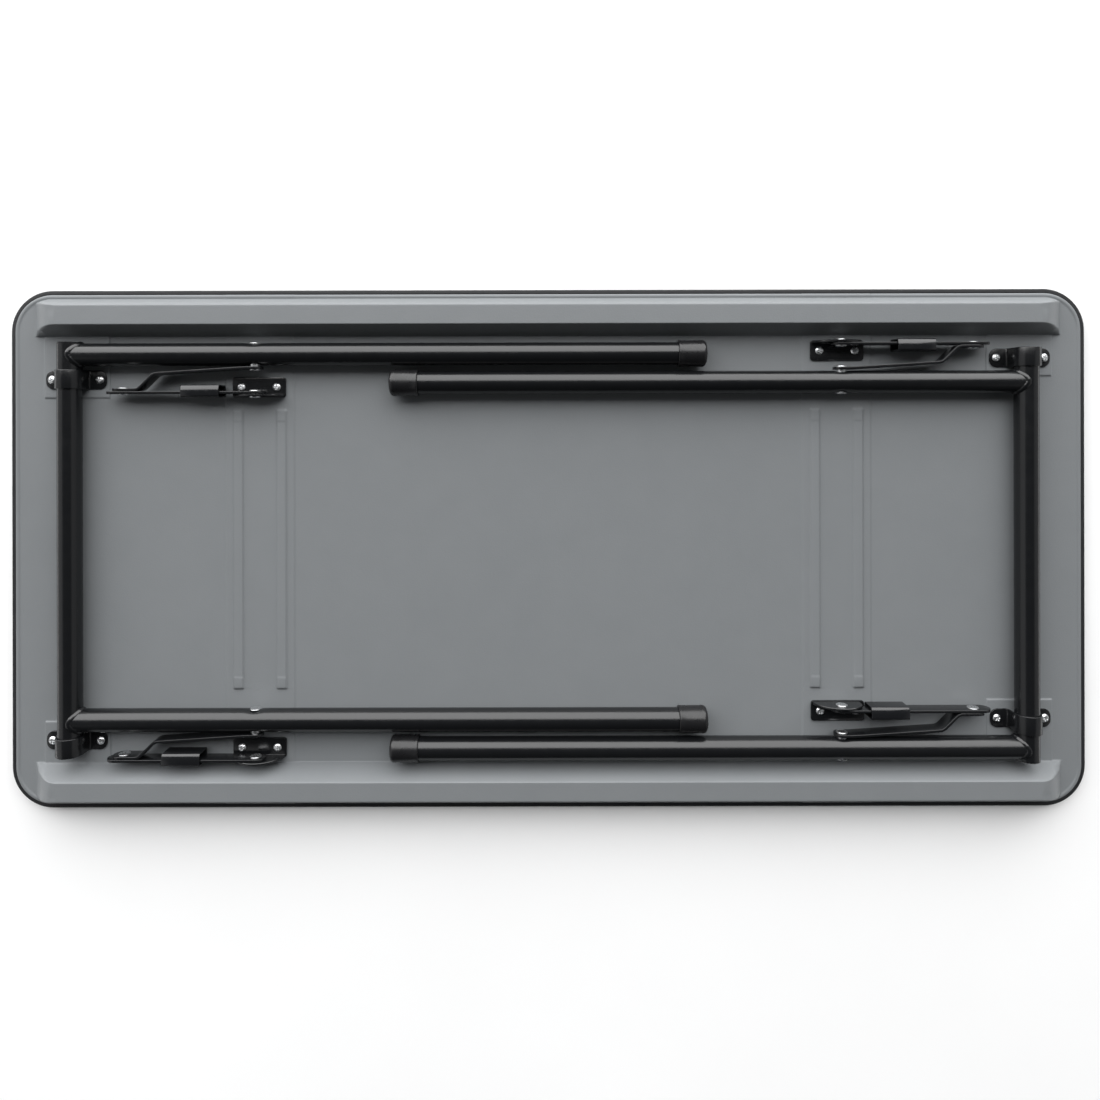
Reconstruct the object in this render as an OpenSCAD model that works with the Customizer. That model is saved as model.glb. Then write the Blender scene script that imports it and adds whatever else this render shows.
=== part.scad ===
// Folding table, lying face down with both leg frames folded into its underside.
// X runs along the table, Y across it and Z out of the underside; the work face lies on z = 0.
// The right leg frame is the left one turned half a turn about Z, so the two nest side by side.

/* [Table top] */
// Length of the table top
top_len = 1220; // [1110:10:1830]
// Depth of the table top
top_depth = 588; // [500:4:760]
// Radius of the corners in plan
corner_r = 47; // [35:1:60]
// Height of the underside's floor above the work face
floor_z = 14; // [12:0.5:18]
// Thickness of the dark top skin's face
top_wall = 2; // [1.5:0.25:3]
// Width of the top skin's rim round the underside skin
rim_w = 3.5; // [2.5:0.5:5]
// How far that rim stops below the underside's floor
rim_drop = 1; // [0.5:0.5:1.5]
// Width of the underside skin's raised lip, inside the rim
lip_w = 6.5; // [4:0.5:10]
// Height of that lip above the floor
lip_h = 0.8; // [0.4:0.1:1.2]
// Thickness of the underside skin
skin_wall = 1.8; // [1.2:0.2:2.4]

/* [Side rails] */
// Height of a rail above the floor
rail_h = 28; // [26:1:36]
// Flat width of a rail's crest
crest_w = 22; // [18:0.5:30]
// Run of a rail's inner slope
rail_in_run = 11.2; // [8:0.2:16]
// Run of a rail's outer slope
rail_out_run = 9.5; // [6:0.5:14]
// Distance from the end of the table to a rail's foot
rail_end_gap = 29; // [16:1:40]
// Run of a rail's sloped end, from foot to crest
rail_end_run = 34.5; // [25:0.5:45]
// Side of the square steel tube inside a rail
stiffener_w = 20; // [12:1:22]
// Wall of that tube
stiffener_wall = 1.5; // [1:0.25:2]

/* [Raised areas of the underside] */
// Height of the pads under the hinge straps
pad_h = 1.1; // [0.5:0.1:2]
// Length of a hinge pad
pad_len = 74; // [70:1:90]
// Distance from a strap to the inner edge of its pad
pad_reach = 9.9; // [6:0.1:14]
// Height of the band under a pair of brace brackets
band_h = 0.6; // [0.4:0.1:1.2]
// Width of that band
band_w = 78; // [70:1:90]
// Height of the two narrow ribs above the band
rib_rise = 0.6; // [0.4:0.1:1.2]
// Width of a rib
rib_w = 9; // [6:1:14]
// Distance between the two ribs of a band
rib_pitch = 49; // [40:0.5:56]
// Distance from the inner leg's line to a rib's end
rib_stop = 30; // [26:1:40]

/* [Leg frames] */
// Outer diameter of the steel tubes
tube_d = 25.4; // [22:0.1:32]
// Wall of the tubes
tube_wall = 1.2; // [1:0.1:2]
// Distance from the hinge axis to the end of a foot
leg_len = 710; // [600:1:820]
// Distance from the end of the table to the hinge axis
hinge_inset = 76; // [60:1:90]
// Gap between the nested legs of the two frames
leg_gap = 6.6; // [6:0.1:12]
// Gap between the outer leg and the rail's foot
rail_gap = 8.7; // [4:0.1:14]
// Gap under the hinge tube
tube_lift = 1.5; // [1:0.1:3]
// Wall of a foot cap
cap_wall = 2.3; // [1.5:0.1:3]
// Length of a foot cap
cap_len = 31.5; // [24:0.5:40]
// Rounding of a foot cap's end
cap_round = 4.5; // [2:0.5:6]

/* [Hinge straps] */
// Width of a strap
strap_w = 21; // [16:0.5:26]
// Rounding of a strap's feet in plan
strap_round = 8; // [4:0.5:8]
// Thickness of a strap
strap_t = 1.8; // [1.5:0.1:2.5]
// Length of a strap over its two feet
strap_len = 68; // [62:1:72]
// Clearance round the tube inside a strap
strap_play = 0.3; // [0.3:0.05:0.6]
// Gap between a leg and the strap beside it
strap_gap = 4.3; // [3:0.1:8]

/* [Folding braces] */
// Distance from the hinge axis to a brace's bracket, and along the leg to its bolt
brace_reach = 207; // [190:1:252]
// Gap between a leg and the upper stay
brace_gap = 28.3; // [26:0.1:34]
// Width of a stay
stay_w = 18; // [14:0.5:22]
// Thickness of a stay
stay_t = 3; // [2.5:0.1:4]
// How far the upper stay's round end stands past its knee rivet, over the stay's own radius
knee_tip = 9.5; // [0:0.5:10]
// How far the lower stay's round end stands past its knee rivet, over the stay's own radius
lower_tip = 3; // [0:0.5:6]
// How far the upper stay's other end stands past its pivot, over the stay's own radius
pivot_tip = 2.2; // [0:0.1:2.2]
// Gap between two flat pieces that turn against each other
leaf_gap = 0.3; // [0.3:0.05:0.5]
// Gap between a leg and the lower stay at its bolt
bolt_gap = 1; // [0.8:0.1:2]
// Straight stretch of the lower stay beside the knee
knee_flat = 19; // [16:0.5:24]
// Thickness of a bracket
bracket_t = 2.5; // [2:0.1:3]
// Length of a bracket's plate
bracket_len = 60; // [56:1:70]
// Width of a bracket's plate
bracket_w = 22.5; // [20:0.5:23]
// Height of a bracket's ear above its pivot
ear_rise = 11.3; // [10:0.1:12]
// Radius of the ear's arched edge
ear_bow = 31; // [26:1:40]
// Reach of the ear from its pivot towards the knee
ear_reach = 24; // [16:0.5:24]
// How far short of the plate's end the ear stops, on its other side
ear_end = 1.5; // [0.5:0.5:4]
// Length of a locking ring
ring_len = 42; // [30:1:46]
// Wall of a locking ring
ring_wall = 1.5; // [1.2:0.1:2]
// Clearance inside a ring across the faces of the stays
ring_play_y = 2.2; // [1:0.1:2.4]
// Clearance inside a ring at the edges of the stays
ring_play_z = 0.5; // [0.3:0.1:0.8]

/* [Fasteners] */
// Radius of a wood screw's shank
screw_r = 2; // [1.5:0.1:2.4]
// Radius of a wood screw's head
screw_head_r = 4.6; // [4:0.1:5]
// Height of a wood screw's head
screw_head_h = 2.6; // [2:0.1:3]
// Radius of a bracket's rivet
rivet_r = 4; // [3:0.1:4.5]
// Radius of a knee rivet
knee_r = 3.5; // [3:0.1:4]
// Radius of a leg's bolt
bolt_r = 3; // [2.5:0.1:4]
// Radius of the heads of rivets and bolts
pin_head_r = 6.5; // [6:0.1:7]
// Height of the heads of rivets and bolts
pin_head_h = 2.2; // [1.5:0.1:2.5]
// Height of a knee rivet's flatter heads
knee_head_h = 1.4; // [1:0.1:1.5]
// Radial clearance of a pin in the piece that turns on it
running = 0.06; // [0.02:0.01:0.1]
// Clearance between pieces that are only seated together
seat = 0.1; // [0.05:0.01:0.2]
// Gap round the core panel and the blocks set into it
core_gap = 0.5; // [0.3:0.1:1]
// Gap between a leg and the cross tube, filled by the weld
weld_gap = 0.05; // [0.02:0.01:0.1]
// How much thinner a pilot hole is than its screw
bite = 0.3; // [0.2:0.05:0.5]

/* [Hidden] */
$fn = 96;
tube_r = tube_d / 2;
cap_r = tube_r + cap_wall;
stay_r = stay_w / 2;
skin_under = floor_z - skin_wall;
rim_top = floor_z - rim_drop;
pad_top = floor_z + pad_h;
band_top = floor_z + band_h;
hinge_x = top_len / 2 - hinge_inset;
hinge_z = pad_top + tube_lift + tube_r;

// Rail lines, as distances from the middle of the table
lip_y = top_depth / 2 - rim_w - lip_w;
crest_out_y = lip_y - rail_out_run;
crest_in_y = crest_out_y - crest_w;
rail_foot_y = crest_in_y - rail_in_run;
rail_foot_x = top_len / 2 - rail_end_gap;
rail_crest_x = rail_foot_x - rail_end_run;

// Leg lines: each frame has one outer leg and one inner leg
leg_outer_y = rail_foot_y - rail_gap - tube_r;
leg_inner_y = leg_outer_y - tube_d - leg_gap;
strap_off = tube_r + strap_gap + strap_w / 2;
strap_screw_x = strap_len / 2 - 7;
screw_tip_z = top_wall + 2;
pilot_r = screw_r - bite;
plug_t = 1.6;
cross_outer_y = leg_outer_y + tube_r + 1.8 - plug_t;
cross_inner_y = leg_inner_y + strap_off + strap_w / 2 + 1 - plug_t;

// Brace lines, as distances from the axis of their leg
upper_off = tube_r + brace_gap + stay_t / 2;
knee_off = upper_off - stay_t - leaf_gap;
bolt_off = tube_r + bolt_gap + stay_t / 2;
jog_off = bolt_off + 6.3;
ear_off = upper_off + stay_t / 2 + leaf_gap;
plate_out = ear_off + bracket_t + 0.7;
plate_in = plate_out - bracket_w;
stay_len = brace_reach / sqrt(2);
bracket_x = hinge_x - brace_reach;
bracket_screw_x = bracket_len / 2 - 10;
bracket_screw_off = plate_in + 11;
ring_off = (upper_off + knee_off) / 2;
ring_in_y = stay_t * 2 + leaf_gap + ring_play_y * 2;
ring_in_z = stay_w + ring_play_z * 2;

// Each corner: its name, 1 for the right frame, its leg's line, the ring's distance from the bracket pivot
CORNERS = [
    ["left_rear", 0, leg_outer_y, 57.8],
    ["left_front", 0, -leg_inner_y, 79.8],
    ["right_front", 1, leg_outer_y, 50.6],
    ["right_rear", 1, -leg_inner_y, 80.6]
];
SIDES = ["left", "right"];
CORNER_PARTS = [
    "hinge_block", "strap", "bracket", "leg_tube", "foot_cap", "upper_stay", "lower_stay",
    "knee_rivet_head", "knee_rivet_tail", "lock_ring"
];
SIDE_PARTS = [
    "cross_board", "strap_screws", "bracket_screws", "bracket_rivets", "cross_tube", "tube_plugs",
    "leg_bolts"
];
RAIL_TUBES = ["rail_tube_rear", "rail_tube_front"];

BLACK_SKIN = "#1d1e20";
GREY_SKIN = "#838689";
BLACK_COAT = "#18191c";
BLACK_PLASTIC = "#101113";
ZINC = "#b9bcc0";
WOOD = "#b08d5e";
STEEL = "#8d9196";

// Places of what repeats

module at_side(side) {
    rotate([0, 0, 180 * side]) children();
}

// The hinge axis at x = 0, the leg's axis at y = 0; the braces lie towards -Y
module at_corner(corner) {
    at_side(corner[1]) translate([-hinge_x, corner[2], 0]) children();
}

module side_corners(side) {
    for (corner = CORNERS) if (corner[1] == side) at_corner(corner) children();
}

// Extrudes a shape drawn in X and Z from y = low to y = high
module across(low, high) {
    translate([0, high, 0]) rotate([90, 0, 0]) linear_extrude(high - low) children();
}

// Extrudes a shape drawn in Y and Z from x = low to x = high
module along(low, high) {
    translate([low, 0, 0]) rotate([90, 0, 90]) linear_extrude(high - low) children();
}

module pin_across(x, z, r, low, high) {
    across(low, high) translate([x, z]) circle(r);
}

// Shapes in a plane

module round_rect(w, h, r) {
    square([w - 2 * r, h], center = true);
    square([w, h - 2 * r], center = true);
    for (x = [-1, 1]) for (y = [-1, 1]) translate([x * (w / 2 - r), y * (h / 2 - r)]) circle(r);
}

module top_outline(inset) {
    round_rect(top_len - 2 * inset, top_depth - 2 * inset, corner_r - inset);
}

module bar_outline(length, r) {
    translate([-length, -r]) square([length, 2 * r]);
    circle(r);
    translate([-length, 0]) circle(r);
}

// Table top

module top_skin() {
    color(BLACK_SKIN) difference() {
        linear_extrude(rim_top) top_outline(0);
        translate([0, 0, top_wall]) linear_extrude(rim_top) top_outline(rim_w);
    }
}

function inner_slope(z) = rail_foot_y + rail_in_run * (z - floor_z) / rail_h;
function outer_slope(z) = lip_y - rail_out_run * (z - floor_z) / rail_h;

// Section across the two rails, its walls moved in by run and its crest lowered by wall
module rail_section(wall, run, base) {
    top = floor_z + rail_h - wall;
    for (side = [-1, 1]) scale([side, 1]) polygon([
        [rail_foot_y + run, base],
        [rail_foot_y + run, floor_z],
        [inner_slope(top) + run, top],
        [outer_slope(top) - run, top],
        [lip_y - run, floor_z],
        [lip_y - run, base]
    ]);
}

// Side view of a rail, with a bowed slope at each end
module rail_profile(wall, run, base) {
    end = [
        [rail_foot_x - run, base],
        [rail_foot_x - run, floor_z],
        [(rail_foot_x + rail_crest_x) / 2 - run, floor_z + rail_h * 0.66 - wall],
        [rail_crest_x - run, floor_z + rail_h - wall]
    ];
    polygon(concat(end, [for (i = [len(end) - 1:-1:0]) [-end[i][0], end[i][1]]]));
}

module rails(wall, base) {
    run = wall * 1.15;
    intersection() {
        along(-top_len / 2, top_len / 2) rail_section(wall, run, base);
        across(-top_depth / 2, top_depth / 2) rail_profile(wall, run, base);
        translate([0, 0, base]) linear_extrude(floor_z + rail_h) top_outline(rim_w + lip_w + run);
    }
}

// The two hinge areas of a side, each from the rail's foot to a line beside its strap
module hinge_areas(margin, low, high) {
    reach = strap_w / 2 + pad_reach;
    strap_rear = leg_outer_y - strap_off;
    strap_front = -leg_inner_y - strap_off;
    for (lines = [[strap_rear - reach, rail_foot_y], [-rail_foot_y, strap_front + reach]])
        translate([-hinge_x - pad_len / 2, lines[0] + margin, low])
            translate([margin, 0, 0])
                cube([pad_len - 2 * margin, lines[1] - lines[0] - 2 * margin, high - low]);
}

// One brace area, from rail to rail
module brace_area(margin, low, high) {
    translate([-bracket_x - band_w / 2 + margin, -rail_foot_y + margin, low])
        cube([band_w - 2 * margin, 2 * (rail_foot_y - margin), high - low]);
}

module band_ribs() {
    half = leg_inner_y - rib_stop;
    for (rib = [-1, 1]) translate([-bracket_x + rib * rib_pitch / 2 - rib_w / 2, -half, skin_under])
        cube([rib_w, 2 * half, band_top + rib_rise - skin_under]);
}

module underside_skin() {
    color(GREY_SKIN) difference() {
        union() {
            translate([0, 0, skin_under]) linear_extrude(skin_wall) top_outline(rim_w + seat);
            translate([0, 0, skin_under]) linear_extrude(skin_wall + lip_h) difference() {
                top_outline(rim_w + seat);
                top_outline(rim_w + lip_w);
            }
            rails(0, skin_under);
            for (side = [0, 1]) at_side(side) {
                hinge_areas(-0.4, skin_under, pad_top);
                brace_area(-0.2, skin_under, band_top);
                band_ribs();
            }
        }
        rails(skin_wall, skin_under - 1);
        for (corner = CORNERS) at_corner(corner) {
            for (x = [-1, 1]) {
                translate([x * strap_screw_x, -strap_off]) screw_bore(screw_r + seat);
                translate([brace_reach + x * bracket_screw_x, -bracket_screw_off])
                    screw_bore(screw_r + seat);
            }
        }
    }
}

module screw_bore(r) {
    translate([0, 0, screw_tip_z]) cylinder(r = r, h = floor_z + rail_h);
}

// The wood that the screws bite into, and the panel cut out round it
module hinge_block(corner) {
    rear = corner[2] > 0;
    half_table = top_depth / 2;
    color(WOOD) difference() {
        intersection() {
            at_side(corner[1]) hinge_areas(core_gap, top_wall, skin_under);
            at_side(corner[1]) translate([-top_len / 2, rear ? 0 : -half_table, 0])
                cube([top_len, half_table, floor_z]);
        }
        for (x = [-1, 1]) at_corner(corner) translate([x * strap_screw_x, -strap_off]) screw_bore(pilot_r);
    }
}

module cross_board(side) {
    color(WOOD) difference() {
        at_side(side) brace_area(core_gap, top_wall, skin_under);
        side_corners(side)
            for (x = [-1, 1]) translate([brace_reach + x * bracket_screw_x, -bracket_screw_off])
                screw_bore(pilot_r);
    }
}

module core_panel() {
    color(WOOD) difference() {
        translate([0, 0, top_wall]) linear_extrude(skin_under - top_wall) top_outline(rim_w + core_gap);
        for (side = [0, 1]) at_side(side) {
            hinge_areas(0, 0, floor_z);
            brace_area(0, 0, floor_z);
        }
    }
}

module rail_tube(side) {
    length = 2 * rail_crest_x - 2 * stiffener_w;
    middle_y = (crest_in_y + crest_out_y) / 2;
    hollow_w = stiffener_w - 2 * stiffener_wall;
    color(STEEL) translate([0, side * middle_y, skin_under + stiffener_w / 2]) difference() {
        cube([length, stiffener_w, stiffener_w], center = true);
        cube([length + 2, hollow_w, hollow_w], center = true);
    }
}

// Hinges

module strap(corner) {
    inner_r = tube_r + strap_play;
    outer_r = inner_r + strap_t;
    color(BLACK_COAT) at_corner(corner) difference() {
        intersection() {
            across(-strap_off - strap_w / 2, -strap_off + strap_w / 2) {
                translate([0, hinge_z]) circle(outer_r);
                translate([-outer_r, pad_top]) square([2 * outer_r, hinge_z - pad_top]);
                translate([-strap_len / 2, pad_top]) square([strap_len, strap_t]);
            }
            translate([0, -strap_off, pad_top]) linear_extrude(hinge_z)
                round_rect(strap_len, strap_w, strap_round);
        }
        across(-strap_off - strap_w, -strap_off + strap_w) {
            translate([0, hinge_z]) circle(inner_r);
            translate([-inner_r, pad_top - 1]) square([2 * inner_r, hinge_z - pad_top + 1]);
        }
        for (x = [-1, 1]) translate([x * strap_screw_x, -strap_off]) screw_bore(screw_r + seat);
    }
}

// A wood screw with a domed cross-recess head that bears on z = seat_z
module wood_screw(seat_z) {
    dome = [for (a = [0:15:90]) [screw_head_r * cos(a), screw_head_h * (0.35 + 0.65 * sin(a))]];
    translate([0, 0, screw_tip_z]) cylinder(r = screw_r, h = seat_z - screw_tip_z + screw_head_h / 3);
    translate([0, 0, seat_z]) difference() {
        rotate_extrude() polygon(concat([[0, 0], [screw_head_r, 0]], dome));
        for (turn = [0, 90]) rotate([0, 0, turn]) translate([0, 0, screw_head_h])
            cube([screw_head_r * 1.1, screw_head_r * 0.24, screw_head_h], center = true);
    }
}

module strap_screws(side) {
    color(ZINC) side_corners(side)
        for (x = [-1, 1]) translate([x * strap_screw_x, -strap_off]) wood_screw(pad_top + strap_t);
}

// Leg frames

module cross_tube(side) {
    color(BLACK_COAT) at_side(side) translate([-hinge_x, 0]) across(-cross_inner_y, cross_outer_y)
        translate([0, hinge_z]) difference() {
            circle(tube_r);
            circle(tube_r - tube_wall);
        }
}

// A leg, its end cut to saddle the cross tube, drilled for the brace's bolt
module leg_tube(corner) {
    color(BLACK_COAT) at_corner(corner) difference() {
        along(0, leg_len - cap_wall - seat) translate([0, hinge_z]) difference() {
            circle(tube_r);
            circle(tube_r - tube_wall);
        }
        pin_across(0, hinge_z, tube_r + weld_gap, -tube_d, tube_d);
        pin_across(brace_reach, hinge_z, bolt_r + seat, -tube_d, tube_d);
    }
}

module foot_cap(corner) {
    color(BLACK_PLASTIC) at_corner(corner) translate([leg_len - cap_len, 0, hinge_z]) rotate([0, 90, 0])
        difference() {
            rotate_extrude() {
                square([cap_r, cap_len - cap_round]);
                square([cap_r - cap_round, cap_len]);
                translate([cap_r - cap_round, cap_len - cap_round]) circle(cap_round);
            }
            translate([0, 0, -1]) cylinder(r = tube_r + seat, h = cap_len - cap_wall + 1);
        }
}

module tube_plugs(side) {
    stem = 12;
    bore_r = tube_r - tube_wall - seat;
    color(BLACK_PLASTIC) at_side(side) translate([-hinge_x, 0]) {
        pin_across(0, hinge_z, tube_r, cross_outer_y, cross_outer_y + plug_t);
        pin_across(0, hinge_z, bore_r, cross_outer_y - stem, cross_outer_y);
        pin_across(0, hinge_z, tube_r, -cross_inner_y - plug_t, -cross_inner_y);
        pin_across(0, hinge_z, bore_r, -cross_inner_y, -cross_inner_y + stem);
    }
}

// A bolt through each leg: far head, shank, spacer beside the leg, and nut over the lower stay
module leg_bolts(side) {
    near = bolt_off - stay_t / 2 - seat;
    far = bolt_off + stay_t / 2 + seat;
    color(ZINC) side_corners(side) {
        pin_across(brace_reach, hinge_z, pin_head_r, tube_r + seat, tube_r + pin_head_h);
        pin_across(brace_reach, hinge_z, bolt_r, -far - pin_head_h, tube_r + pin_head_h);
        pin_across(brace_reach, hinge_z, pin_head_r - 1, -near, -tube_r - seat);
        pin_across(brace_reach, hinge_z, pin_head_r, -far - pin_head_h, -far);
    }
}

// Folding braces

// An L bracket whose ear is as long as its plate on the side away from the knee, and arched along its edge
module bracket(corner) {
    pivot = [brace_reach, hinge_z];
    color(BLACK_COAT) at_corner(corner) difference() {
        union() {
            translate([brace_reach, -(plate_in + plate_out) / 2, band_top])
                linear_extrude(bracket_t) round_rect(bracket_len, bracket_w, 3);
            across(-ear_off - bracket_t, -ear_off) intersection() {
                translate(pivot + [0, ear_rise - ear_bow]) circle(ear_bow);
                translate([brace_reach - ear_reach, band_top])
                    square([ear_reach + bracket_len / 2 - ear_end, hinge_z + ear_rise - band_top]);
            }
        }
        pin_across(pivot[0], pivot[1], rivet_r + seat, -upper_off * 2, 0);
        for (x = [-1, 1]) translate([brace_reach + x * bracket_screw_x, -bracket_screw_off])
            screw_bore(screw_r + seat);
    }
}

module bracket_screws(side) {
    color(ZINC) side_corners(side) for (x = [-1, 1])
        translate([brace_reach + x * bracket_screw_x, -bracket_screw_off]) wood_screw(band_top + bracket_t);
}

// A rivet through each bracket's ear, on which the upper stay turns
module bracket_rivets(side) {
    outside = ear_off + bracket_t + seat;
    inside = upper_off - stay_t / 2 - seat;
    color(ZINC) side_corners(side) {
        pin_across(brace_reach, hinge_z, rivet_r, -outside - pin_head_h, -inside + pin_head_h);
        pin_across(brace_reach, hinge_z, pin_head_r, -outside - pin_head_h, -outside);
        pin_across(brace_reach, hinge_z, pin_head_r, -inside, -inside + pin_head_h);
    }
}

module upper_stay(corner) {
    color(BLACK_COAT) at_corner(corner) difference() {
        across(-upper_off - stay_t / 2, -upper_off + stay_t / 2)
            translate([brace_reach + pivot_tip, hinge_z])
                bar_outline(pivot_tip + stay_len + knee_tip, stay_r);
        pin_across(brace_reach, hinge_z, rivet_r + running, -upper_off * 2, 0);
        pin_across(brace_reach - stay_len, hinge_z, knee_r + seat, -upper_off * 2, 0);
    }
}

// Distances along the lower stay from its knee, and how far its middle line lies from the leg's axis
STAY_LINE = [
    [-stay_r - lower_tip, knee_off],
    [knee_flat, knee_off],
    [knee_flat + knee_off - jog_off, jog_off],
    [stay_len - 10, bolt_off],
    [stay_len + stay_r, bolt_off]
];

// Each point of a line moved sideways by d, with mitred corners
function unit(v) = v / norm(v);
function line_normal(line, i) = let(v = unit(line[i + 1] - line[i])) [-v[1], v[0]];
function moved_line(line, d) = [
    for (i = [0:len(line) - 1])
        let(
            before = line_normal(line, max(i - 1, 0)),
            after = line_normal(line, min(i, len(line) - 2)),
            mid = unit(before + after)
        )
        line[i] + mid * d / (mid * after)
];

module lower_stay(corner) {
    edge = moved_line(STAY_LINE, stay_t / 2);
    other = moved_line(STAY_LINE, -stay_t / 2);
    color(BLACK_COAT) at_corner(corner) difference() {
        intersection() {
            across(-upper_off, 0) translate([brace_reach, hinge_z])
                bar_outline(stay_len + lower_tip, stay_r);
            translate([brace_reach - stay_len, 0, hinge_z - stay_r]) linear_extrude(stay_w) scale([1, -1])
                polygon(concat(edge, [for (i = [len(other) - 1:-1:0]) other[i]]));
        }
        pin_across(brace_reach, hinge_z, bolt_r + running, -upper_off, 0);
        pin_across(brace_reach - stay_len, hinge_z, knee_r + seat, -upper_off, 0);
    }
}

// The two halves of the knee rivet, one in each stay; their flat ends meet when the knee is closed
module knee_rivet_head(corner) {
    outside = upper_off + stay_t / 2;
    color(ZINC) at_corner(corner) {
        pin_across(brace_reach - stay_len, hinge_z, knee_r, -outside, -upper_off + stay_t / 2);
        pin_across(brace_reach - stay_len, hinge_z, pin_head_r, -outside - knee_head_h, -outside);
    }
}

module knee_rivet_tail(corner) {
    outside = knee_off - stay_t / 2;
    color(ZINC) at_corner(corner) {
        pin_across(brace_reach - stay_len, hinge_z, knee_r, -knee_off - stay_t / 2, -outside);
        pin_across(brace_reach - stay_len, hinge_z, pin_head_r, -outside, -outside + knee_head_h);
    }
}

module lock_ring(corner) {
    middle = brace_reach - corner[3];
    color(BLACK_COAT) at_corner(corner) along(middle - ring_len / 2, middle + ring_len / 2)
        translate([-ring_off, hinge_z]) difference() {
            round_rect(ring_in_y + 2 * ring_wall, ring_in_z + 2 * ring_wall, 3);
            round_rect(ring_in_y, ring_in_z, 1.5);
        }
}

top_skin();
underside_skin();
core_panel();
for (i = [0, 1]) rail_tube(1 - 2 * i);
for (side = [0, 1]) {
    cross_board(side);
    strap_screws(side);
    bracket_screws(side);
    bracket_rivets(side);
    cross_tube(side);
    tube_plugs(side);
    leg_bolts(side);
}
for (corner = CORNERS) {
    hinge_block(corner);
    strap(corner);
    bracket(corner);
    leg_tube(corner);
    foot_cap(corner);
    upper_stay(corner);
    lower_stay(corner);
    knee_rivet_head(corner);
    knee_rivet_tail(corner);
    lock_ring(corner);
}
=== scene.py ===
import math

import bmesh
import bpy
import numpy as np
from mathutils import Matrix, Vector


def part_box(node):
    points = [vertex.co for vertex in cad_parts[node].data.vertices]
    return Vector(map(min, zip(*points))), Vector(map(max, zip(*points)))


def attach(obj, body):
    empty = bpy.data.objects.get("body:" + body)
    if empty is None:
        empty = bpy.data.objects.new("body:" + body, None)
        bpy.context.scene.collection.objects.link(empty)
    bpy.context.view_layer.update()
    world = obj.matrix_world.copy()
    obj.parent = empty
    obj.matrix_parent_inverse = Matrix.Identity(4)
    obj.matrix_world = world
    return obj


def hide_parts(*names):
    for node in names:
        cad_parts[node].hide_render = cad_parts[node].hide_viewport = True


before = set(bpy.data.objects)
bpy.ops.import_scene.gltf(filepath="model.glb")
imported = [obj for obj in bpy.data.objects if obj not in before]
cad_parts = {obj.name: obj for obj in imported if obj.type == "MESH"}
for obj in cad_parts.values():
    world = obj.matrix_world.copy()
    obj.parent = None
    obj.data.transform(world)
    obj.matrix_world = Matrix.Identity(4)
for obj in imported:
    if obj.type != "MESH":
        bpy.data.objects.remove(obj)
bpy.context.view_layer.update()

# Folding table, lying face down: X along the table, Y across it, Z out of the underside.
# Lengths are in metres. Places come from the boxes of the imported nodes.

MM = 0.001
CORNERS = ["left_rear", "left_front", "right_front", "right_rear"]
SIDES = ["left", "right"]
TURN = {"left": 1.0, "right": -1.0}


def corners_of(side):
    """The two corners whose leg and brace belong to one leg frame."""
    return [corner for corner in CORNERS if corner.startswith(side)]


def box(node):
    """Lowest corner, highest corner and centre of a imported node, as arrays."""
    low, high = (np.array(corner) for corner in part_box(node))
    return low, high, (low + high) / 2


TOP_HIGH = box("top_skin")[1]
SKIN_HIGH = box("underside_skin")[1]
TUBE_LOW, TUBE_HIGH, TUBE_MID = box("cross_tube_left")
HALF_X, HALF_Y = TOP_HIGH[:2]
RIM_TOP = TOP_HIGH[2]
CREST_Z = SKIN_HIGH[2]
SKIN_X, SKIN_Y = SKIN_HIGH[:2]
HINGE_X = -TUBE_MID[0]
HINGE_Z = TUBE_MID[2]
TUBE_R = (TUBE_HIGH[0] - TUBE_LOW[0]) / 2
PAD_TOP = box("strap_left_rear")[0][2]
BRACKET_LOW, _, BRACKET_MID = box("bracket_left_rear")
BAND_TOP = BRACKET_LOW[2]
BRACKET_X = -BRACKET_MID[0]
INNER_LEG_Y = box("leg_tube_right_rear")[2][1]

CORNER_R = 47 * MM
LIP_RISE = 0.8 * MM
PAD_RISE = 1.1 * MM
FLOOR_Z = PAD_TOP - PAD_RISE
RIM_W = HALF_X - SKIN_X
RIM_SHOWN = 5 * MM


# Building meshes from arrays


def grid_faces(rows, cols, wrap_rows=False, wrap_cols=False):
    """Quads between neighbours of a rows x cols grid. A wrapped direction joins its last line to its
    first."""
    index = np.arange(rows * cols).reshape(rows, cols)
    if wrap_rows:
        index = np.vstack([index, index[:1]])
    if wrap_cols:
        index = np.hstack([index, index[:, :1]])
    corners = (index[:-1, :-1], index[:-1, 1:], index[1:, 1:], index[1:, :-1])
    return np.stack(corners, axis=-1).reshape(-1, 4).tolist()


def loft(rings, close=False):
    """A closed surface through rings of points: rings[k, n] is point n of ring k. Each ring is a loop, and
    the two end rings are closed by a flat face, or joined to each other when close is set."""
    count, size = rings.shape[:2]
    faces = grid_faces(count, size, wrap_rows=close, wrap_cols=True)
    if not close:
        faces.append(list(range(size)))
        faces.append(list(range((count - 1) * size, count * size)))
    return rings.reshape(-1, 3), faces


def joined(shapes):
    """Several shapes as one, each shape's faces counted on from the points before it."""
    points, faces, start = [], [], 0
    for shape_points, shape_faces in shapes:
        points.append(shape_points)
        faces += [[start + i for i in face] for face in shape_faces]
        start += len(shape_points)
    return np.vstack(points), faces


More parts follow.
